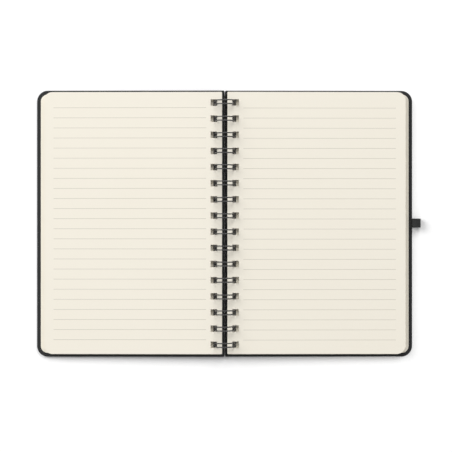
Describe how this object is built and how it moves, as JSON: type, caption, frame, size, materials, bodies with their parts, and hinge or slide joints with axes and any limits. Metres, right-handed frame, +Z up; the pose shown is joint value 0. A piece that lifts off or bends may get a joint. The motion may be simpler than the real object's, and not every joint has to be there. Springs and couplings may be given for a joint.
{
  "type": "ring notebook",
  "caption": "Hardcover ring notebook lying open, its covers and ruled pages hung on a twin-loop wire, with an elastic pen loop at the fore-edge.",
  "frame": {"origin": "middle of the open notebook's outline, on the table it lies on", "axes": "+X from the front cover's side to the back cover's, across the open spread; +Y along the wire, towards the head of the pages; +Z up, away from the table"},
  "size_m": [0.3028, 0.21, 0.0163],
  "materials": {
    "cover_skin": "matte grained imitation leather over board",
    "paper": "uncoated cream writing paper with grey ruled lines",
    "wire": "glossy black nylon-coated steel wire",
    "elastic": "matte black ribbed woven elastic"
  },
  "bodies": {
    "binding": {"wire_binding": "wire"},
    "front_cover": {"front_cover": "cover_skin"},
    "back_cover": {"back_cover": "cover_skin", "pen_loop": "elastic"},
    "front_pages": {"front_pages": "paper"},
    "back_pages": {"back_pages": "paper"}
  },
  "joints": [
    {"name": "front_cover_turn", "type": "hinge", "parent": "binding", "child": "front_cover", "pos_m": [-0.0032, 0, 0.00815], "axis": [0, 1, 0], "range_deg": [0, 181.8]},
    {"name": "front_pages_turn", "type": "hinge", "parent": "front_cover", "child": "front_pages", "pos_m": [-0.0032, 0, 0.00815], "axis": [0, 1, 0], "range_deg": [0, 178.2]},
    {"name": "back_cover_turn", "type": "hinge", "parent": "binding", "child": "back_cover", "pos_m": [-0.0032, 0, 0.00815], "axis": [0, -1, 0], "range_deg": [0, 181.8]},
    {"name": "back_pages_turn", "type": "hinge", "parent": "back_cover", "child": "back_pages", "pos_m": [-0.0032, 0, 0.00815], "axis": [0, -1, 0], "range_deg": [0, 178.2]}
  ]
}
